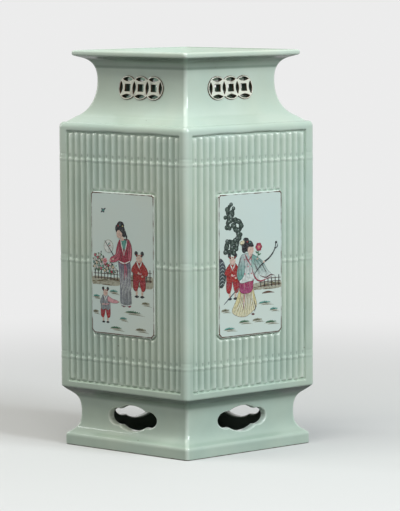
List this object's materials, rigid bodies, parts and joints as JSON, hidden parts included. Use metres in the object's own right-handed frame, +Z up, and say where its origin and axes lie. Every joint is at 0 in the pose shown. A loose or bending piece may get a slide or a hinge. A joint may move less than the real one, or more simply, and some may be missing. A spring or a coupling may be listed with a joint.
{
  "type": "vase",
  "caption": "Tall lozenge-section porcelain vase with reeded bamboo walls, painted plaques, pierced cash neck and lobed openwork foot.",
  "frame": {"origin": "on the ground, under the centre of the vase", "axes": "+Z up the vase, X along the long diagonal of the lozenge plan, +Y along its short diagonal to the back"},
  "size_m": [0.1858, 0.1594, 0.29],
  "materials": {
    "celadon_glaze": "glossy glaze",
    "white_glaze": "glossy glaze",
    "unglazed_porcelain": "matt"
  },
  "bodies": {
    "root": {"foot_slab_front_right": "celadon_glaze", "foot_slab_front_left": "celadon_glaze", "foot_slab_back_right": "celadon_glaze", "foot_slab_back_left": "celadon_glaze", "body_slab_front_right": "celadon_glaze", "body_slab_front_left": "celadon_glaze", "body_slab_back_right": "celadon_glaze", "body_slab_back_left": "celadon_glaze", "picture_plaque_front_right": "white_glaze", "picture_plaque_front_left": "white_glaze", "picture_plaque_back_right": "white_glaze", "picture_plaque_back_left": "white_glaze", "neck_slab_front_right": "celadon_glaze", "neck_slab_front_left": "celadon_glaze", "neck_slab_back_right": "celadon_glaze", "neck_slab_back_left": "celadon_glaze", "floor_slab": "celadon_glaze", "corner_coil_right": "unglazed_porcelain", "corner_coil_left": "unglazed_porcelain", "corner_coil_back": "unglazed_porcelain", "corner_coil_front": "unglazed_porcelain"}
  },
  "joints": []
}
